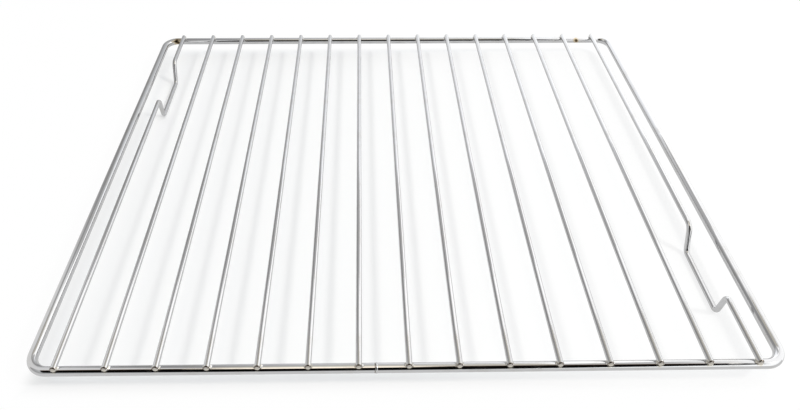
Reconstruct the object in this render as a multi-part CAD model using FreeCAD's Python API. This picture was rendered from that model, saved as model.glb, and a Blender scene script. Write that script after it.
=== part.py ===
# Oven shelf rack: a rounded frame of round wire, with thinner cross wires welded on top of it.
# Millimetres. X runs across the rack, +Y to the rear and +Z up. The origin lies under the rack's middle,
# level with the undersides of the two dips that it stands on.
import FreeCAD, Part
import math
import os
from FreeCAD import Vector

# Frame wire, one closed loop
frame_width = 446.0           # over the side bars
frame_depth = 364.0           # over the front and rear bars
frame_wire_diameter = 6.0
corner_inside_radius = 8.0

# Raised collar on the front bar, where the two ends of the frame wire are butt-welded
seam_offset = -18.8           # from the middle of the bar, negative to the left
seam_width = 1.2
seam_height = 0.2

# Cross wires from front to rear, the outermost two of which are the stop wires
cross_wire_count = 15
cross_wire_diameter = 3.6
side_gap = 12.2               # clear width between a side bar and the stop wire beside it
tip_setback = 0.7             # how far a wire's tip stays inside the bar's outer face
tip_lean = 0.9                # how far the top of a wire's sheared end lies back from its foot
weld_set_down = 0.6           # how deep a cross wire is pressed flat on a bar by its weld
weld_land_margin = 0.2        # how far the flat runs on past its seat, away from the tip

# Dip bent down into each stop wire: upright on its front side and sloped on its rear side
dip_depth = 16.5              # from the high centre line to the low one
dip_length = 60.0             # along the high centre line
dip_slope_run = 10.0          # how far the rear side leans
dip_setback = 44.0            # from the centre line of the nearer bar
upright_inside_radius = 1.4   # of the two bends of a dip's upright side
foot_inside_radius = 3.2      # of the bend between a dip's foot and its sloped side
crest_inside_radius = 6.2     # of the bend at the top of the sloped side
bend_sections = 7             # round sections that each bend is lofted through

# Places that follow from the sizes above
frame_radius = frame_wire_diameter / 2
wire_radius = cross_wire_diameter / 2
corner_radius = corner_inside_radius + frame_radius
upright_radius = upright_inside_radius + wire_radius
foot_radius = foot_inside_radius + wire_radius
crest_radius = crest_inside_radius + wire_radius
side_bar_x = frame_width / 2 - frame_radius
rear_bar_y = frame_depth / 2 - frame_radius
stop_wire_x = side_bar_x - frame_radius - side_gap - wire_radius
cross_wire_pitch = 2 * stop_wire_x / (cross_wire_count - 1)
tip_y = rear_bar_y + frame_radius - tip_setback
stock_end_y = tip_y + tip_lean
wire_level = dip_depth + wire_radius
wire_top = wire_level + wire_radius
seat_level = wire_level - wire_radius + weld_set_down
frame_level = seat_level - frame_radius


def rounded_corner(before, corner, after, radius):
    """The tangent arc that rounds one corner of a path."""
    back = (before - corner).normalize()
    ahead = (after - corner).normalize()
    inward = (back + ahead).normalize()
    half_angle = back.getAngle(ahead) / 2
    tangent_length = radius / math.tan(half_angle)
    middle_depth = radius / math.sin(half_angle) - radius
    start = corner + back * tangent_length
    end = corner + ahead * tangent_length
    return Part.Arc(start, corner + inward * middle_depth, end)


def frame_loop():
    """Centre line of the frame wire: four straight bars and four quarter bends."""
    corners = [
        Vector(side_bar_x, -rear_bar_y, frame_level),
        Vector(side_bar_x, rear_bar_y, frame_level),
        Vector(-side_bar_x, rear_bar_y, frame_level),
        Vector(-side_bar_x, -rear_bar_y, frame_level),
    ]
    edges = []
    bends = [rounded_corner(corners[i - 1], corners[i], corners[i - 3], corner_radius) for i in range(4)]
    for before, bend in zip([bends[-1]] + bends, bends):
        edges.append(Part.LineSegment(before.EndPoint, bend.StartPoint).toShape())
        edges.append(bend.toShape())
    return Part.Wire(edges)


def frame_wire():
    """The closed frame, swept along its loop, with the collar of its butt weld."""
    loop = frame_loop()
    first_bar = loop.OrderedEdges[0]
    section = Part.makeCircle(frame_radius, first_bar.valueAt(0), first_bar.tangentAt(0))
    swept = loop.makePipeShell([Part.Wire(section)], True, False)
    collar_start = Vector(seam_offset - seam_width / 2, -rear_bar_y, frame_level)
    collar = Part.makeCylinder(frame_radius + seam_height, seam_width, collar_start, Vector(1, 0, 0))
    return swept.fuse(collar)


def straight_run(start, end):
    """Straight stretch of cross wire."""
    return Part.makeCylinder(wire_radius, (end - start).Length, start, end - start)


def lofted_bend(arc):
    """Bend of cross wire, lofted through round sections along an arc."""
    sections = []
    for step in range(bend_sections):
        place = arc.FirstParameter + (arc.LastParameter - arc.FirstParameter) * step / (bend_sections - 1)
        sections.append(Part.Wire(Part.makeCircle(wire_radius, arc.valueAt(place), arc.tangentAt(place))))
    return Part.makeLoft(sections, True)


def bent_wire(points, radii):
    """Cross wire through points, with a bend at each point between its ends."""
    pieces = []
    leaving = points[0]
    for before, corner, after, radius in zip(points, points[1:], points[2:], radii):
        arc = rounded_corner(before, corner, after, radius)
        pieces.append(straight_run(leaving, arc.StartPoint))
        pieces.append(lofted_bend(arc.toShape()))
        leaving = arc.EndPoint
    last_run = straight_run(leaving, points[-1])
    return last_run.fuse(pieces) if pieces else last_run


def weld_lands(x):
    """The metal under both ends of a cross wire that its welds press away, down from the tops of the bars."""
    seat_half_length = math.sqrt(frame_radius ** 2 - (frame_radius - weld_set_down) ** 2)
    inner_y = rear_bar_y - seat_half_length - weld_land_margin
    length = stock_end_y - inner_y
    bottom = seat_level - wire_radius
    return [
        Part.makeBox(2 * wire_radius, length, wire_radius, Vector(x - wire_radius, start_y, bottom))
        for start_y in (-stock_end_y, inner_y)
    ]


def sheared_end_y(level):
    """How far out the slanted end of a cross wire reaches at one level."""
    return tip_y - tip_lean * (level - seat_level) / (wire_top - seat_level)


def shear_cuts(x):
    """The stock beyond the slanted cuts that both ends of a cross wire are sheared off by."""
    low, high = wire_level - cross_wire_diameter, wire_level + cross_wire_diameter
    outer_y = stock_end_y + cross_wire_diameter
    outline = [(sheared_end_y(low), low), (outer_y, low), (outer_y, high), (sheared_end_y(high), high)]
    cuts = []
    for end in (-1, 1):
        corners = [Vector(x - cross_wire_diameter, end * y, level) for y, level in outline]
        profile = Part.Face(Part.makePolygon(corners + corners[:1]))
        cuts.append(profile.extrude(Vector(2 * cross_wire_diameter, 0, 0)))
    return cuts


def welded_wire(x, corners, radii):
    """A wire from front to rear at one place across the rack, seated on the front and rear bars."""
    points = [Vector(x, -stock_end_y, wire_level)] + corners + [Vector(x, stock_end_y, wire_level)]
    return bent_wire(points, radii).cut(weld_lands(x) + shear_cuts(x))


def stop_wire(x, front_y):
    """A cross wire with a dip, from its upright front side to its sloped rear side."""
    rear_y = front_y + dip_length
    low_level = wire_level - dip_depth
    corners = [
        Vector(x, front_y, wire_level),
        Vector(x, front_y, low_level),
        Vector(x, rear_y - dip_slope_run, low_level),
        Vector(x, rear_y, wire_level),
    ]
    return welded_wire(x, corners, [upright_radius, upright_radius, foot_radius, crest_radius])


def write_node(name, shape):
    """One closed solid to its own file."""
    (solid,) = shape.Solids
    solid.exportStep(os.path.join("parts", name + ".step"))


os.makedirs("parts", exist_ok=True)
write_node("frame_wire", frame_wire())

left_dip_front = rear_bar_y - dip_setback - dip_length
right_dip_front = dip_setback - rear_bar_y
write_node("left_stop_wire", stop_wire(-stop_wire_x, left_dip_front))
write_node("right_stop_wire", stop_wire(stop_wire_x, right_dip_front))

for number in range(1, cross_wire_count - 1):
    write_node("cross_wire_%02d" % number, welded_wire(number * cross_wire_pitch - stop_wire_x, [], []))
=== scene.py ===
# Oven shelf rack of bright chromed wire, standing on a pale studio floor.
# Metres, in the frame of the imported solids: X runs across the rack, +Y to the rear and +Z up.
import math
import bpy
import numpy as np
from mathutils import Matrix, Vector


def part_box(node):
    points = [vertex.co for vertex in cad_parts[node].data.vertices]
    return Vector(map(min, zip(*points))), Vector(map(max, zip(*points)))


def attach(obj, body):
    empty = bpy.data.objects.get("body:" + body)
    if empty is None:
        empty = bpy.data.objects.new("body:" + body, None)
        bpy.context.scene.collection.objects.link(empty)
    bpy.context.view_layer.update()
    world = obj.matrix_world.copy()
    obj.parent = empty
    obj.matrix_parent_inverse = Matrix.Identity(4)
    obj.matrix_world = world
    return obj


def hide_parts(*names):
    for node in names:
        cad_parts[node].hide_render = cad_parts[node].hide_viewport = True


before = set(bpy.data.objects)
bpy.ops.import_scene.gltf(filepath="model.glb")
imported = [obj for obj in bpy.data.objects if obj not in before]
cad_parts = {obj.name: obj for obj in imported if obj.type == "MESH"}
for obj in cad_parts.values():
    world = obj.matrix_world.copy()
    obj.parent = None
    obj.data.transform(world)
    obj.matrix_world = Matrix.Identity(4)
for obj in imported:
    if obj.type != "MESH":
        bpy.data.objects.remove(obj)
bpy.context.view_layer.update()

MM = 0.001

# Wire sizes
frame_radius = 3.0 * MM
wire_radius = 1.8 * MM
corner_radius = 11.0 * MM          # of the frame's corners, at the middle of the wire

# Dip of each stop wire: upright on its front side and sloped on its rear side
dip_length = 60.0 * MM
dip_slope_run = 10.0 * MM
dip_setback = 44.0 * MM            # from the middle of the nearer bar

# Bends of a dip at the middle of the wire, from its upright side to the top of its slope
dip_bend_radii = (3.2 * MM, 3.2 * MM, 5.0 * MM, 8.0 * MM)

# Butt weld that closes the frame wire, on the front bar
seam_x = -18.8 * MM
bead_height = 0.2 * MM
bead_half_width = 0.6 * MM
bead_fullness = 0.8                # 1 is a plain parabola, and less is fuller

# Ends of the cross wires, sheared off and welded down on the bars. Places are outward from a bar's middle.
tip_lean = 0.9 * MM                # how far the top of a sheared end lies back from its foot
lean_start = 0.2 * MM
edge_rounding = 0.9 * MM           # of the rim of a sheared end
flash_width = 0.95 * MM            # how far the squeezed metal stands out at each side of a wire
flash_start, flash_full = -1.9 * MM, -0.9 * MM
flash_fade, flash_end = 0.5 * MM, 1.8 * MM
flash_unevenness = 0.3             # share by which the flash differs from weld to weld
skirt_share = 0.65                 # of a section's lower half, from a wire's waist to the edge of its flash
weld_variation = np.random.default_rng(15)

# How finely the wires are meshed
ring_points = 48
run_spacing = 4.0 * MM
weld_spacing = 0.08 * MM
weld_zone = 4.5 * MM               # to each side of a bar's middle
seam_spacing = 0.06 * MM
seam_zone = 1.5 * MM
bend_step = math.radians(6)

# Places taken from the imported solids
frame_low, frame_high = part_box("frame_wire")
side_bar_x = frame_high.x - frame_radius
rear_bar_y = frame_high.y - frame_radius
frame_level = (frame_low.z + frame_high.z) / 2
seat_level = frame_level + frame_radius
_, wire_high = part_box("cross_wire_01")
wire_level = wire_high.z - wire_radius
tip_y = wire_high.y
cross_wire_names = sorted(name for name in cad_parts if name.startswith("cross_wire_"))
stop_wire_x = sum(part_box("right_stop_wire"), Vector()).x / 2
wire_pitch = 2 * stop_wire_x / (len(cross_wire_names) + 1)


# Paths of the wires

def straight_leg(start, end):
    """Length of a straight stretch, the spacing of its rings and a function for its points and directions."""
    direction = (end - start).normalized()
    return (end - start).length, run_spacing, lambda run: (start + direction * run, direction)


def bend_leg(before, corner, after, radius):
    """The same for the tangent bend that rounds a corner."""
    back = (before - corner).normalized()
    ahead = (after - corner).normalized()
    half_angle = back.angle(ahead) / 2
    start = corner + back * (radius / math.tan(half_angle))
    centre = corner + (back + ahead).normalized() * (radius / math.sin(half_angle))
    spoke = (start - centre).normalized()

    def place(run):
        turn = run / radius
        point = centre + (spoke * math.cos(turn) - back * math.sin(turn)) * radius
        return point, -back * math.cos(turn) - spoke * math.sin(turn)

    return radius * (math.pi - 2 * half_angle), radius * bend_step, place


def wire_legs(corners, radii):
    """Straight legs and bends, in turn, along a wire through these corners."""
    legs = []
    leaving = corners[0]
    for before, corner, after, radius in zip(corners, corners[1:], corners[2:], radii):
        length, spacing, place = bend_leg(before, corner, after, radius)
        legs.append(straight_leg(leaving, place(0)[0]))
        legs.append((length, spacing, place))
        leaving = place(length)[0]
    legs.append(straight_leg(leaving, corners[-1]))
    return legs


def stations(legs, end_zone, end_spacing):
    """Distances, points and directions along a wire, closer together in its bends and near its two ends."""
    total = sum(length for length, spacing, place in legs)
    closest = end_spacing / 4
    runs, points, directions = [], [], []
    start = 0.0
    for length, spacing, place in legs:
        marks = set(np.linspace(0, length, max(2, round(length / spacing) + 1)))
        ends = np.arange(0, end_zone, end_spacing)
        marks.update(mark - start for mark in [*ends, *(total - ends)] if start < mark < start + length)
        for mark in sorted(marks):
            if runs and start + mark - runs[-1] < closest:
                continue
            point, direction = place(mark)
            runs.append(start + mark)
            points.append(point)
            directions.append(direction)
        start += length
    return np.array(runs), np.array(points), np.array(directions)


# Meshes of the wires

def wire_rings(points, directions, side, radii):
    """Rings of points round a wire, and each ring point's place on a straightened wire's section."""
    angles = np.linspace(0, 2 * math.pi, ring_points, endpoint=False)
    rise = np.cross(side, directions)
    section = np.stack([np.cos(angles), np.sin(angles)], axis=1)
    spokes = section[None, :, :1] * np.array(side) + section[None, :, 1:] * rise[:, None, :]
    rings = points[:, None, :] + spokes * radii[:, None, None]
    return rings, section[None] * radii[:, None, None]


def ring_faces(ring_count, closed):
    """Quads between the rings. A closed wire joins up with itself, and an open wire's ends get fans."""
    def at(ring, step):
        return ring % ring_count * ring_points + step % ring_points

    faces = [
        (at(ring, step), at(ring + 1, step), at(ring + 1, step + 1), at(ring, step + 1))
        for ring in range(ring_count if closed else ring_count - 1)
        for step in range(ring_points)
    ]
    if not closed:
        front_tip = ring_count * ring_points
        for step in range(ring_points):
            faces.append((front_tip, at(0, step), at(0, step + 1)))
            faces.append((front_tip + 1, at(ring_count - 1, step + 1), at(ring_count - 1, step)))
    return faces


def wire_piece(node, rings, straightened, tips, material):
    """A wire from its rings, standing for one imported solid. tips are the end points of an open wire."""
    mesh = bpy.data.meshes.new(node + "_chromed")
    corners = [*rings.reshape(-1, 3), *tips]
    mesh.from_pydata(corners, [], ring_faces(len(rings), not tips))
    mesh.polygons.foreach_set("use_smooth", [True] * len(mesh.polygons))
    run = mesh.attributes.new("wire_run", "FLOAT_VECTOR", "POINT")
    run.data.foreach_set("vector", np.concatenate([straightened.reshape(-1), np.zeros(3 * len(tips))]))
    mesh.materials.append(material)
    piece = bpy.data.objects.new(node + "_chromed", mesh)
    bpy.context.scene.collection.objects.link(piece)
    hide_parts(node)
    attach(piece, "root")


def straightened_run(runs, sections):
    """Place of each ring point on the straightened wire: along it, and across its section."""
    along = np.broadcast_to(runs[:, None, None], (*sections.shape[:2], 1))
    return np.concatenate([along, sections], axis=2)


def bead_profile(distance):
    """How far the frame wire stands out at a distance from its butt weld."""
    return bead_height * np.clip(1 - (distance / bead_half_width) ** 2, 0, None) ** bead_fullness


def frame_wire(material):
    """The closed frame, from its butt weld once round the rack."""
    seam = Vector((seam_x, -rear_bar_y, frame_level))
    corners = [
        Vector((x * side_bar_x, y * rear_bar_y, frame_level))
        for x, y in ((1, -1), (1, 1), (-1, 1), (-1, -1))
    ]
    legs = wire_legs([seam, *corners, seam], [corner_radius] * 4)
    runs, points, directions = stations(legs, seam_zone, seam_spacing)
    from_seam = np.minimum(runs, runs[-1] - runs)
    rings, sections = wire_rings(points, directions, (0, 0, 1), frame_radius + bead_profile(from_seam))
    straightened = straightened_run(runs, sections)
    wire_piece("frame_wire", rings[:-1], straightened[:-1], [], material)


def smooth_rise(value, low, high):
    """0 below low, 1 above high and a smooth rise between them."""
    share = np.clip((value - low) / (high - low), 0, 1)
    return share * share * (3 - 2 * share)


def welded_sections(outward, across, upward, flash_widths):
    """Sections of a cross wire near its welds, with the squeezed metal flaring out between wire and bar."""
    bar_top = frame_level + np.sqrt(np.clip(frame_radius ** 2 - outward ** 2, 0, None))
    seat_drop = (wire_level - bar_top)[:, None]
    round_under = np.clip(np.arctan2(-upward, np.abs(across)) / (math.pi / 2), 0, 1)
    down_skirt = np.clip(round_under / skirt_share, 0, 1)
    under_foot = np.clip((round_under - skirt_share) / (1 - skirt_share), 0, 1)
    flare = np.where(across < 0, flash_widths[0], flash_widths[1]) * smooth_rise(down_skirt, 0, 1)
    flared_across = np.sign(across) * (wire_radius + flare) * (1 - under_foot)
    flared_upward = -seat_drop * down_skirt
    flash = smooth_rise(outward, flash_start, flash_full) * (1 - smooth_rise(outward, flash_fade, flash_end))
    share = np.where(upward < 0, flash[:, None], 0)
    section_across = across * wire_radius * (1 - share) + flared_across * share
    section_upward = upward * wire_radius * (1 - share) + flared_upward * share
    return section_across, np.maximum(section_upward, -seat_drop)


def weld_ends(rings, points, x, flash_widths):
    """Reshapes a cross wire's rings at both ends: welded to the bars and sheared off, with rounded rims."""
    shaped = rings.copy()
    for end in (-1, 1):
        outward = end * points[:, 1] - rear_bar_y
        near = outward > -weld_zone
        outward = outward[near]
        spokes = (rings[near] - points[near][:, None, :]) / wire_radius
        across, upward = welded_sections(outward, spokes[..., 0], spokes[..., 2], flash_widths[end])
        into_rim = np.clip(1 - (tip_y - rear_bar_y - outward) / edge_rounding, 0, 1)
        inset = edge_rounding * (1 - np.sqrt(1 - into_rim ** 2))
        kept = (1 - inset / wire_radius)[:, None]
        lean = tip_lean * smooth_rise(outward, lean_start, tip_y - rear_bar_y)[:, None]
        lean_back = lean * (upward * kept + wire_radius) / (2 * wire_radius)
        shaped[near, :, 0] = x + across * kept
        shaped[near, :, 1] = end * (rear_bar_y + outward[:, None] - lean_back)
        shaped[near, :, 2] = wire_level + upward * kept
    return shaped


def cross_wire(node, x, bends, material):
    """A wire from front to rear, with any bends between, welded on top of both bars."""
    front_tip = Vector((x, -tip_y, wire_level))
    rear_tip = Vector((x, tip_y, wire_level))
    legs = wire_legs([front_tip, *bends, rear_tip], dip_bend_radii)
    runs, points, directions = stations(legs, tip_y - rear_bar_y + weld_zone, weld_spacing)
    rings, sections = wire_rings(points, directions, (1, 0, 0), np.full(len(runs), wire_radius))
    flash_widths = {
        end: flash_width * (1 + flash_unevenness * weld_variation.uniform(-1, 1, 2))
        for end in (-1, 1)
    }
    rings = weld_ends(rings, points, x, flash_widths)
    tips = [rings[0].mean(axis=0), rings[-1].mean(axis=0)]
    wire_piece(node, rings, straightened_run(runs, sections), tips, material)


def dip_bends(x, front_y):
    """The four corners of a stop wire's dip, from its upright front side to its sloped rear side."""
    rear_y = front_y + dip_length
    low_level = wire_radius
    return [
        Vector((x, front_y, wire_level)),
        Vector((x, front_y, low_level)),
        Vector((x, rear_y - dip_slope_run, low_level)),
        Vector((x, rear_y, wire_level)),
    ]


# Node helpers

MIX_FIRST, MIX_SECOND, MIX_RESULT = 6, 7, 2      # colour sockets of a Mix node


def add_node(tree, kind, inputs=(), **settings):
    """A node with its settings, and each of its inputs set to a value or linked to a socket."""
    node = tree.nodes.new(kind)
    for name, value in settings.items():
        setattr(node, name, value)
    for key, value in dict(inputs).items():
        if isinstance(value, bpy.types.NodeSocket):
            tree.links.new(value, node.inputs[key])
        else:
            node.inputs[key].default_value = value
    return node


def maths(tree, operation, first, second=0.0):
    """Socket with the result of one operation on sockets or numbers."""
    return add_node(tree, "ShaderNodeMath", {0: first, 1: second}, operation=operation).outputs[0]


def soft_step(tree, value, low, high):
    """0 at low and 1 at high, with a smooth change between, whichever of the two is larger."""
    inputs = {"Value": value, "From Min": low, "From Max": high}
    return add_node(tree, "ShaderNodeMapRange", inputs, interpolation_type="SMOOTHSTEP").outputs["Result"]


def mix_colours(tree, share, first, second):
    """Socket with the first colour, changed to the second by a share."""
    inputs = {"Factor": share, MIX_FIRST: first, MIX_SECOND: second}
    return add_node(tree, "ShaderNodeMix", inputs, data_type="RGBA").outputs[MIX_RESULT]


def grey(level):
    """An even grey, as a colour."""
    return (level, level, level, 1)


def colour_ramp(tree, value, stops):
    """Colours along a value from 0 to 1."""
    node = add_node(tree, "ShaderNodeValToRGB", {0: value})
    elements = node.color_ramp.elements
    while len(elements) < len(stops):
        elements.new(1.0)
    for element, (place, colour) in zip(elements, stops):
        element.position = place
        element.color = colour
    return node.outputs["Color"]


def new_group(name, inputs, outputs):
    """An empty shader node group with named sockets, and its input and output nodes."""
    group = bpy.data.node_groups.new(name, "ShaderNodeTree")
    for socket, kind, value in inputs:
        made = group.interface.new_socket(socket, in_out="INPUT", socket_type=kind)
        if value is not None:
            made.default_value = value
    for socket, kind in outputs:
        group.interface.new_socket(socket, in_out="OUTPUT", socket_type=kind)
    return group, group.nodes.new("NodeGroupInput").outputs, group.nodes.new("NodeGroupOutput").inputs


# Finishes of the chrome, as groups. Scales count details to a metre.

line_stretch = (30, 5000, 5000)    # of the drawn lines, along the wire and across its section
ripple_scale = 260
haze_scale = 90
haze_start, haze_full = 0.42, 0.72 # values of the noise where haze begins and is full
smoke_scale = 700
weld_grain_scale = 1800
stain_edge_scale = 350
noise_middle = 0.5

# Where a scorch, a stain and a stain's dark heart begin and are full, in parts of their reach
scorch_edge, scorch_full = 1.0, 0.65
stain_edge, stain_full = 1.0, 0.45
heart_edge, heart_full = 0.5, 0.2


def drawn_plate_group():
    """Chrome plate over drawn wire: fine lines along the wire, a slow ripple and patches of haze."""
    group, given, made = new_group(
        "drawn_plate",
        [
            ("Wire Run", "NodeSocketVector", None),
            ("Line Height", "NodeSocketFloat", 0.0004),
            ("Ripple Height", "NodeSocketFloat", 0.006),
            ("Bright Roughness", "NodeSocketFloat", 0.05),
            ("Hazy Roughness", "NodeSocketFloat", 0.15),
        ],
        [("Height", "NodeSocketFloat"), ("Roughness", "NodeSocketFloat"), ("Haze", "NodeSocketFloat")],
    )
    run = given["Wire Run"]
    lengthwise = add_node(group, "ShaderNodeVectorMath", {0: run, 1: line_stretch}, operation="MULTIPLY")
    lines = add_node(group, "ShaderNodeTexNoise", {"Vector": lengthwise.outputs[0], "Scale": 1, "Detail": 2})
    ripple = add_node(group, "ShaderNodeTexNoise", {"Vector": run, "Scale": ripple_scale, "Detail": 1})
    patches = add_node(group, "ShaderNodeTexNoise", {"Vector": run, "Scale": haze_scale, "Detail": 4})
    line_height = maths(group, "MULTIPLY", lines.outputs["Fac"], given["Line Height"])
    ripple_height = maths(group, "MULTIPLY", ripple.outputs["Fac"], given["Ripple Height"])
    haze = soft_step(group, patches.outputs["Fac"], haze_start, haze_full)
    bright = given["Bright Roughness"]
    extra = maths(group, "SUBTRACT", given["Hazy Roughness"], bright)
    group.links.new(maths(group, "ADD", line_height, ripple_height), made["Height"])
    group.links.new(maths(group, "ADD", bright, maths(group, "MULTIPLY", extra, haze)), made["Roughness"])
    group.links.new(haze, made["Haze"])
    return group


def weld_scorch_group():
    """Dull, slightly burnt and grainy metal round each weld of a cross wire and a bar."""
    group, given, made = new_group(
        "weld_scorch",
        [
            ("Position", "NodeSocketVector", None),
            ("Pitch", "NodeSocketFloat", 0.03),
            ("Bar", "NodeSocketFloat", 0.18),
            ("Seat", "NodeSocketFloat", 0.02),
            ("Reach", "NodeSocketFloat", 0.005),
            ("Grain Height", "NodeSocketFloat", 0.02),
        ],
        [("Scorch", "NodeSocketFloat"), ("Height", "NodeSocketFloat")],
    )
    x, y, z = add_node(group, "ShaderNodeSeparateXYZ", {0: given["Position"]}).outputs
    steps = maths(group, "ROUND", maths(group, "DIVIDE", x, given["Pitch"]))
    from_wire = maths(group, "SUBTRACT", x, maths(group, "MULTIPLY", steps, given["Pitch"]))
    from_bar = maths(group, "SUBTRACT", maths(group, "ABSOLUTE", y), given["Bar"])
    from_seat = maths(group, "SUBTRACT", z, given["Seat"])
    away = add_node(group, "ShaderNodeCombineXYZ", {0: from_wire, 1: from_bar, 2: from_seat}).outputs[0]
    length = add_node(group, "ShaderNodeVectorMath", {0: away}, operation="LENGTH").outputs["Value"]
    distance = maths(group, "DIVIDE", length, given["Reach"])
    place = given["Position"]
    smoke = add_node(group, "ShaderNodeTexNoise", {"Vector": place, "Scale": smoke_scale, "Detail": 3})
    grain = add_node(group, "ShaderNodeTexNoise", {"Vector": place, "Scale": weld_grain_scale, "Detail": 2})
    ragged = maths(group, "ADD", distance, maths(group, "SUBTRACT", smoke.outputs["Fac"], noise_middle))
    burnt = soft_step(group, ragged, scorch_edge, scorch_full)
    height = maths(group, "MULTIPLY", grain.outputs["Fac"], given["Grain Height"])
    group.links.new(burnt, made["Scorch"])
    group.links.new(maths(group, "MULTIPLY", height, burnt), made["Height"])
    return group


def heat_stain_group():
    """A stain with an uneven edge round one place: a mask of the whole stain and one of its dark heart."""
    group, given, made = new_group(
        "heat_stain",
        [
            ("Position", "NodeSocketVector", None),
            ("Centre", "NodeSocketVector", None),
            ("Reach", "NodeSocketFloat", 0.008),
        ],
        [("Stain", "NodeSocketFloat"), ("Heart", "NodeSocketFloat")],
    )
    place = given["Position"]
    away = add_node(group, "ShaderNodeVectorMath", {0: place, 1: given["Centre"]}, operation="DISTANCE")
    distance = maths(group, "DIVIDE", away.outputs["Value"], given["Reach"])
    edge = add_node(group, "ShaderNodeTexNoise", {"Vector": place, "Scale": stain_edge_scale, "Detail": 3})
    uneven = maths(group, "ADD", distance, maths(group, "SUBTRACT", edge.outputs["Fac"], noise_middle))
    group.links.new(soft_step(group, uneven, stain_edge, stain_full), made["Stain"])
    group.links.new(soft_step(group, uneven, heart_edge, heart_full), made["Heart"])
    return group


# Materials

bright_chrome = (0.515, 0.515, 0.52, 1)
hazy_chrome = (0.485, 0.48, 0.475, 1)
scorched_chrome = (0.55, 0.52, 0.46, 1)
amber_stain = (0.45, 0.37, 0.25, 1)
dark_stain = (0.06, 0.042, 0.022, 1)
# Painted shade and painted dark reflection: the dark lines at the butt weld and over the sheared ends' rims
painted_dark_line = (0.19, 0.165, 0.14, 1)

# Drawn lines and ripple of the plate, in millimetres of height
frame_line_height, frame_ripple_height = 0.0003, 0.005
wire_line_height, wire_ripple_height = 0.0004, 0.004

# Dull metal round each weld
scorch_roughness = 0.16
scorch_offset = 0.5 * MM           # from the middle of a bar towards the tips
frame_scorch_reach, wire_scorch_reach = 2.7 * MM, 2.9 * MM

# Heat stains on the rear bar
left_stain_x, left_stain_reach = -209.5 * MM, 5.6 * MM
right_stain_x, right_stain_reach = 188.0 * MM, 3.7 * MM
stain_height = 1.0 * MM            # above the middle of the bar

# Painted dark lines: painted shade beside the butt weld, and a painted dark reflection over the upper rim of
# each sheared end
seam_line_x = -19.6 * MM
seam_line_edge, seam_line_full = 0.4 * MM, 0.1 * MM
rim_depth = 0.4 * MM               # of the line's middle, behind a sheared end
rim_half_width = 0.42 * MM
rim_foot, rim_full = wire_level - 0.2 * MM, wire_level + 0.6 * MM


def chrome(name, plate, scorch, line_height, ripple_height, scorch_reach):
    """Bright chrome over drawn wire, dulled at the welds. Returns the material, its colour and its places."""
    material = bpy.data.materials.new(name)
    material.use_nodes = True
    tree = material.node_tree
    shader = tree.nodes["Principled BSDF"]
    shader.inputs["Metallic"].default_value = 1
    run = add_node(tree, "ShaderNodeAttribute", attribute_name="wire_run").outputs["Vector"]
    position = add_node(tree, "ShaderNodeTexCoord").outputs["Object"]
    drawn = add_node(tree, "ShaderNodeGroup", node_tree=plate)
    tree.links.new(run, drawn.inputs["Wire Run"])
    drawn.inputs["Line Height"].default_value = line_height
    drawn.inputs["Ripple Height"].default_value = ripple_height
    burnt = add_node(tree, "ShaderNodeGroup", node_tree=scorch)
    tree.links.new(position, burnt.inputs["Position"])
    burnt.inputs["Pitch"].default_value = wire_pitch
    burnt.inputs["Bar"].default_value = rear_bar_y + scorch_offset
    burnt.inputs["Seat"].default_value = seat_level
    burnt.inputs["Reach"].default_value = scorch_reach
    colour = mix_colours(tree, drawn.outputs["Haze"], bright_chrome, hazy_chrome)
    colour = mix_colours(tree, burnt.outputs["Scorch"], colour, scorched_chrome)
    extra = maths(tree, "MULTIPLY", burnt.outputs["Scorch"], scorch_roughness)
    roughness = maths(tree, "ADD", drawn.outputs["Roughness"], extra)
    height = maths(tree, "ADD", drawn.outputs["Height"], burnt.outputs["Height"])
    bump = add_node(tree, "ShaderNodeBump", {"Height": height, "Distance": MM})
    tree.links.new(roughness, shader.inputs["Roughness"])
    tree.links.new(bump.outputs["Normal"], shader.inputs["Normal"])
    tree.links.new(colour, shader.inputs["Base Color"])
    return material, colour, position


def stain_and_shade_frame(material, colour, position, stain):
    """Two heat stains on the rear bar, near its ends, and a line of painted shade beside the butt weld."""
    tree = material.node_tree
    for x, reach in ((left_stain_x, left_stain_reach), (right_stain_x, right_stain_reach)):
        spot = add_node(tree, "ShaderNodeGroup", node_tree=stain)
        tree.links.new(position, spot.inputs["Position"])
        spot.inputs["Centre"].default_value = (x, rear_bar_y - frame_radius, frame_level + stain_height)
        spot.inputs["Reach"].default_value = reach
        colour = mix_colours(tree, spot.outputs["Stain"], colour, amber_stain)
        colour = mix_colours(tree, spot.outputs["Heart"], colour, dark_stain)
    # Painted shade: a dark line across the front bar just beside the butt weld
    x, y, _ = add_node(tree, "ShaderNodeSeparateXYZ", {0: position}).outputs
    off_line = maths(tree, "ABSOLUTE", maths(tree, "SUBTRACT", x, seam_line_x))
    line = soft_step(tree, off_line, seam_line_edge, seam_line_full)
    on_front_bar = maths(tree, "LESS_THAN", y, 0)
    colour = mix_colours(tree, maths(tree, "MULTIPLY", line, on_front_bar), colour, painted_dark_line)
    tree.links.new(colour, tree.nodes["Principled BSDF"].inputs["Base Color"])


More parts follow.
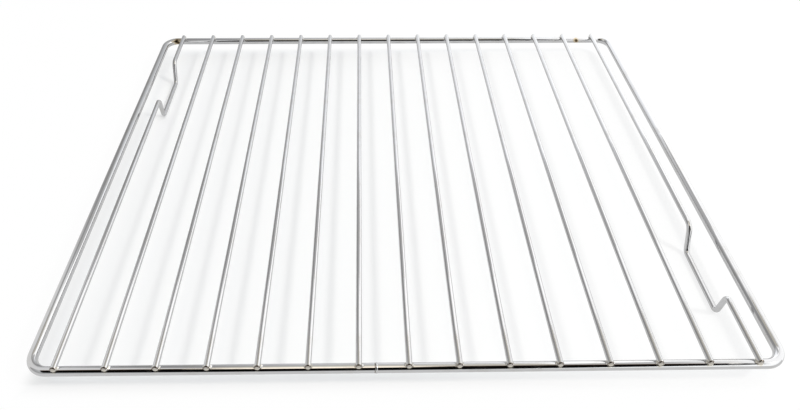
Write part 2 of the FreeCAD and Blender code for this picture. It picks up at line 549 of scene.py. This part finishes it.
def paint_dark_rim_reflections(material, colour, position):
    """A painted dark reflection over the upper rim of each sheared end."""
    tree = material.node_tree
    _, y, z = add_node(tree, "ShaderNodeSeparateXYZ", {0: position}).outputs
    above_seat = maths(tree, "SUBTRACT", z, seat_level)
    lean_back = maths(tree, "MULTIPLY", above_seat, tip_lean / (wire_level + wire_radius - seat_level))
    behind = maths(tree, "SUBTRACT", maths(tree, "SUBTRACT", tip_y, maths(tree, "ABSOLUTE", y)), lean_back)
    off_line = maths(tree, "ABSOLUTE", maths(tree, "SUBTRACT", behind, rim_depth))
    line = soft_step(tree, off_line, rim_half_width, rim_half_width / 2)
    upper = soft_step(tree, z, rim_foot, rim_full)
    # Painted dark reflection along the rim, fading out towards the wire's seat
    colour = mix_colours(tree, maths(tree, "MULTIPLY", line, upper), colour, painted_dark_line)
    tree.links.new(colour, tree.nodes["Principled BSDF"].inputs["Base Color"])


# Stage, light and camera

floor_half = 30.0
floor_white = (0.835, 0.85, 0.866, 1)
floor_roughness, floor_gloss = 0.8, 0.1

# Shares of plain white in the floor, as the camera and the chrome see it: under the rack and away from it.
# The larger share away from the rack and towards the lamp is painted light.
near_white, far_white = 0.36, 0.95
white_start, white_end = -5.0 * MM, 9.0 * MM    # how far outside the rack the floor pales
lamp_start, lamp_end = -60.0 * MM, 170.0 * MM   # how far to the right it pales towards the lamp
lamp_share = 0.65                               # of the whole paling, on the lamp's side


def studio_floor():
    """Wide pale floor under the rack, with soft shadows, and painted light that makes it whiter outside the
    rack and towards the lamp.
    """
    corners = [(x * floor_half, y * floor_half, 0) for x, y in ((-1, -1), (1, -1), (1, 1), (-1, 1))]
    mesh = bpy.data.meshes.new("studio_floor")
    mesh.from_pydata(corners, [], [(0, 1, 2, 3)])
    material = bpy.data.materials.new("pale_floor")
    material.use_nodes = True
    tree = material.node_tree
    shader = tree.nodes["Principled BSDF"]
    shader.inputs["Base Color"].default_value = floor_white
    shader.inputs["Roughness"].default_value = floor_roughness
    shader.inputs["Specular IOR Level"].default_value = floor_gloss
    rays = add_node(tree, "ShaderNodeLightPath").outputs
    seen = maths(tree, "MAXIMUM", rays["Is Camera Ray"], rays["Is Glossy Ray"])
    seen = maths(tree, "MAXIMUM", seen, rays["Is Transmission Ray"])
    backdrop = add_node(tree, "ShaderNodeEmission", {"Color": grey(1), "Strength": 1})
    place = add_node(tree, "ShaderNodeTexCoord").outputs["Object"]
    x, y, _ = add_node(tree, "ShaderNodeSeparateXYZ", {0: place}).outputs
    # Painted light: the share of plain white grows outside the rack and towards the lamp's side, so the floor
    # there is paler than its lighting makes it
    beside = maths(tree, "SUBTRACT", maths(tree, "ABSOLUTE", x), side_bar_x + frame_radius)
    beyond = maths(tree, "SUBTRACT", maths(tree, "ABSOLUTE", y), rear_bar_y + frame_radius)
    outside = soft_step(tree, maths(tree, "MAXIMUM", beside, beyond), white_start, white_end)
    painted_lamp_light = maths(tree, "MULTIPLY", soft_step(tree, x, lamp_start, lamp_end), lamp_share)
    pale = maths(tree, "MAXIMUM", outside, painted_lamp_light)
    white = maths(tree, "ADD", near_white, maths(tree, "MULTIPLY", pale, far_white - near_white))
    share = maths(tree, "MULTIPLY", seen, white)
    surface = add_node(tree, "ShaderNodeMixShader", {0: share, 1: shader.outputs[0], 2: backdrop.outputs[0]})
    tree.links.new(surface.outputs[0], tree.nodes["Material Output"].inputs["Surface"])
    mesh.materials.append(material)
    floor = bpy.data.objects.new("studio_floor", mesh)
    bpy.context.scene.collection.objects.link(floor)


# Tones of the studio's walls and ceiling, from the right round over the top to the left, by angle in degrees
wall_tones = (
    (0, 1.4), (15, 1.75), (35, 2.0), (55, 1.85), (75, 1.6),
    (95, 1.4), (115, 1.1), (140, 0.72), (165, 0.55), (180, 0.7),
)
wall_tint = (0.985, 0.995, 1.0)
horizon_tone = 1.0
horizon_start, horizon_end = 0.22, 0.10          # height of the direction where the walls pale to the horizon

# Dark opening of the studio, high in front. Its foot and top are angles up from the front, and its sides are
# how far to the side a direction points.
opening_middle = -0.01
opening_side, opening_side_end = 0.46, 0.62
opening_foot, opening_foot_end = math.radians(14), math.radians(1)
opening_foot_rise = math.radians(112)           # how its foot curves up towards the sides
opening_top, opening_top_end = math.radians(66), math.radians(100)
opening_dark = (0.005, 0.005, 0.005, 1)
opening_rim = (0.42, 0.27, 0.15, 1)             # brown along its upper edge
brown_end, dark_start = 0.35, 0.8               # parts of the soft step at its top
opening_edge, opening_inside = 0.1, 0.5         # parts of its soft outline

# Small ceiling panel over the opening's upper edge
panel_middle, panel_half_width = -0.07, 0.20
panel_angle, panel_half_angle = math.radians(80), math.radians(13)
panel_edge, panel_inside = 1.3, 0.5             # squares of the distance from its middle
panel_colour = (2.3, 2.05, 1.7, 1)


def oval(tree, across, angle, middle, half_width, middle_angle, half_angle):
    """Square of the distance from an oval's middle, 1 on its edge."""
    first = maths(tree, "DIVIDE", maths(tree, "SUBTRACT", across, middle), half_width)
    second = maths(tree, "DIVIDE", maths(tree, "SUBTRACT", angle, middle_angle), half_angle)
    return maths(tree, "ADD", maths(tree, "POWER", first, 2), maths(tree, "POWER", second, 2))


def studio_world():
    """Soft studio walls, brighter on the right, with a dark opening in front and a pale horizon."""
    world = bpy.data.worlds.new("studio_world")
    bpy.context.scene.world = world
    world.use_nodes = True
    tree = world.node_tree
    direction = add_node(tree, "ShaderNodeTexCoord").outputs["Generated"]
    x, y, z = add_node(tree, "ShaderNodeSeparateXYZ", {0: direction}).outputs
    side_angle = maths(tree, "ARCTAN2", z, x)
    front_angle = maths(tree, "ARCTAN2", z, maths(tree, "MULTIPLY", y, -1))
    stops = [(angle / 180, (*(tone * part for part in wall_tint), 1)) for angle, tone in wall_tones]
    colour = colour_ramp(tree, maths(tree, "DIVIDE", side_angle, math.pi), stops)
    off_middle = maths(tree, "SUBTRACT", x, opening_middle)
    rise = maths(tree, "MULTIPLY", maths(tree, "POWER", off_middle, 2), opening_foot_rise)
    above_foot = soft_step(tree, maths(tree, "SUBTRACT", front_angle, rise), opening_foot_end, opening_foot)
    below_top = soft_step(tree, front_angle, opening_top_end, opening_top)
    within_sides = soft_step(tree, maths(tree, "ABSOLUTE", off_middle), opening_side_end, opening_side)
    opening = maths(tree, "MULTIPLY", maths(tree, "MULTIPLY", above_foot, below_top), within_sides)
    depth = mix_colours(tree, soft_step(tree, below_top, brown_end, dark_start), opening_rim, opening_dark)
    colour = mix_colours(tree, soft_step(tree, opening, opening_edge, opening_inside), colour, depth)
    panel = oval(tree, x, front_angle, panel_middle, panel_half_width, panel_angle, panel_half_angle)
    colour = mix_colours(tree, soft_step(tree, panel, panel_edge, panel_inside), colour, panel_colour)
    colour = mix_colours(tree, soft_step(tree, z, horizon_start, horizon_end), colour, grey(horizon_tone))
    tree.links.new(colour, tree.nodes["Background"].inputs["Color"])


# Small light tent round the rack, open in front, that only the chrome shows
tent_left, tent_right = -0.28, 0.29
tent_front, tent_rear = -0.185, 0.35
tent_top = 0.64
right_split = 0.03                               # how far back the right side's front panel reaches
ceiling_front, ceiling_middle = 0.05, 0.21       # how far back two of the three ceiling panels reach
rear_split = 0.36                                # height of the rear side's lower panel
plain_cloth = (1.0, 1.0, 1.0)
cool_cloth = (0.975, 0.99, 1.01)
warm_cloth = (1.0, 0.955, 0.85)

# Each panel: two opposite corners, its tint, the axis that it is shaded along, and its tones along that axis
tent_panels = (
    (
        (tent_left, tent_front, 0), (tent_left, tent_rear, tent_top), plain_cloth, 1,
        (
            (tent_front, 1.2), (-0.08, 1.15), (-0.03, 0.85), (0.02, 0.55),
            (0.10, 0.45), (0.25, 0.50), (tent_rear, 0.66),
        ),
    ),
    (
        (tent_left, tent_rear, 0), (tent_right, tent_rear, rear_split), cool_cloth, 0,
        ((tent_left, 0.68), (-0.20, 0.82), (-0.10, 1.02), (0.0, 1.32), (0.10, 1.62), (tent_right, 1.95)),
    ),
    (
        (tent_left, tent_rear, rear_split), (tent_right, tent_rear, tent_top), plain_cloth, 0,
        ((tent_left, 0.62), (-0.10, 0.75), (0.10, 0.75), (tent_right, 0.85)),
    ),
    (
        (tent_right, right_split, 0), (tent_right, tent_rear, tent_top), plain_cloth, 1,
        ((right_split, 1.95), (tent_rear, 2.05)),
    ),
    (
        (tent_right, tent_front, 0), (tent_right, right_split, tent_top), plain_cloth, 2,
        ((0, 1.85), (0.12, 1.8), (0.28, 0.9), (tent_top, 0.75)),
    ),
    (
        (tent_left, ceiling_middle, tent_top), (tent_right, tent_rear, tent_top), plain_cloth, 0,
        ((tent_left, 0.55), (-0.15, 0.85), (0.0, 1.25), (0.10, 1.5), (0.18, 1.8), (tent_right, 1.95)),
    ),
    (
        (tent_left, ceiling_front, tent_top), (tent_right, ceiling_middle, tent_top), warm_cloth, 0,
        ((tent_left, 0.65), (-0.12, 0.82), (tent_right, 0.82)),
    ),
    (
        (tent_left, tent_front, tent_top), (tent_right, ceiling_front, tent_top), warm_cloth, 0,
        ((tent_left, 1.05), (-0.12, 1.35), (0.0, 1.3), (0.10, 1.1), (tent_right, 0.85)),
    ),
)


def tent_panel(number, low, high, tint, axis, tones):
    """One flat panel of the light tent, shaded along one axis, that only reflections show."""
    across = next(side for side in range(3) if low[side] != high[side])
    corners = [list(low), list(low), list(high), list(high)]
    corners[1][across] = high[across]
    corners[3][across] = low[across]
    name = "tent_panel_%d" % number
    mesh = bpy.data.meshes.new(name)
    mesh.from_pydata(corners, [], [(0, 1, 2, 3)])
    material = bpy.data.materials.new(name)
    material.use_nodes = True
    tree = material.node_tree
    place = add_node(tree, "ShaderNodeTexCoord").outputs["Object"]
    along = add_node(tree, "ShaderNodeSeparateXYZ", {0: place}).outputs[axis]
    first, last = tones[0][0], tones[-1][0]
    length = last - first
    share = maths(tree, "DIVIDE", maths(tree, "SUBTRACT", along, first), length)
    stops = [((spot - first) / length, (*(tone * part for part in tint), 1)) for spot, tone in tones]
    glow = add_node(tree, "ShaderNodeEmission", {"Color": colour_ramp(tree, share, stops)})
    tree.links.new(glow.outputs[0], tree.nodes["Material Output"].inputs["Surface"])
    mesh.materials.append(material)
    panel = bpy.data.objects.new(name, mesh)
    panel.visible_camera = False
    panel.visible_diffuse = False
    panel.visible_transmission = False
    panel.visible_shadow = False
    bpy.context.scene.collection.objects.link(panel)


# Lamp, and the camera fitted to the photograph
key_direction = Vector((0.70, -0.17, 0.69))
key_distance = 2.2
key_diameter = 0.3
key_power = 17.0
key_colour = (1.0, 0.97, 0.92)
sensor_width, lens_length = 36.0, 26.29         # millimetres
lens_shift = 0.0359                              # part of the picture's width
nearest_view = 0.01
camera_place = (-0.02514, -0.34409, 0.32390)
camera_turns = (43.645, -0.203, -0.773)          # degrees


def key_light():
    """Round lamp high on the right, a little to the front."""
    lamp = bpy.data.lights.new("key_light", "AREA")
    lamp.shape = "DISK"
    lamp.size = key_diameter
    lamp.energy = key_power
    lamp.color = key_colour
    holder = bpy.data.objects.new("key_light", lamp)
    toward = key_direction.normalized()
    holder.location = toward * key_distance
    holder.rotation_euler = toward.to_track_quat("Z", "Y").to_euler()
    bpy.context.scene.collection.objects.link(holder)


def studio_camera():
    """Camera at the photograph's viewing angle."""
    camera = bpy.data.cameras.new("studio_camera")
    camera.sensor_width = sensor_width
    camera.lens = lens_length
    camera.shift_x = lens_shift
    camera.clip_start = nearest_view
    holder = bpy.data.objects.new("studio_camera", camera)
    holder.location = camera_place
    holder.rotation_euler = [math.radians(turn) for turn in camera_turns]
    bpy.context.scene.collection.objects.link(holder)
    bpy.context.scene.camera = holder


plate = drawn_plate_group()
scorch = weld_scorch_group()
frame_finish, frame_colour, frame_position = chrome(
    "frame_chrome", plate, scorch, frame_line_height, frame_ripple_height, frame_scorch_reach
)
stain_and_shade_frame(frame_finish, frame_colour, frame_position, heat_stain_group())
wire_finish, wire_colour, wire_position = chrome(
    "wire_chrome", plate, scorch, wire_line_height, wire_ripple_height, wire_scorch_reach
)
paint_dark_rim_reflections(wire_finish, wire_colour, wire_position)
frame_wire(frame_finish)
for name in cross_wire_names:
    low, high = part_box(name)
    cross_wire(name, (low.x + high.x) / 2, [], wire_finish)
left_dip = dip_bends(-stop_wire_x, rear_bar_y - dip_setback - dip_length)
right_dip = dip_bends(stop_wire_x, dip_setback - rear_bar_y)
cross_wire("left_stop_wire", -stop_wire_x, left_dip, wire_finish)
cross_wire("right_stop_wire", stop_wire_x, right_dip, wire_finish)

studio_floor()
studio_world()
for number, panel in enumerate(tent_panels, 1):
    tent_panel(number, *panel)
key_light()
studio_camera()
bpy.context.scene.view_settings.view_transform = "Standard"
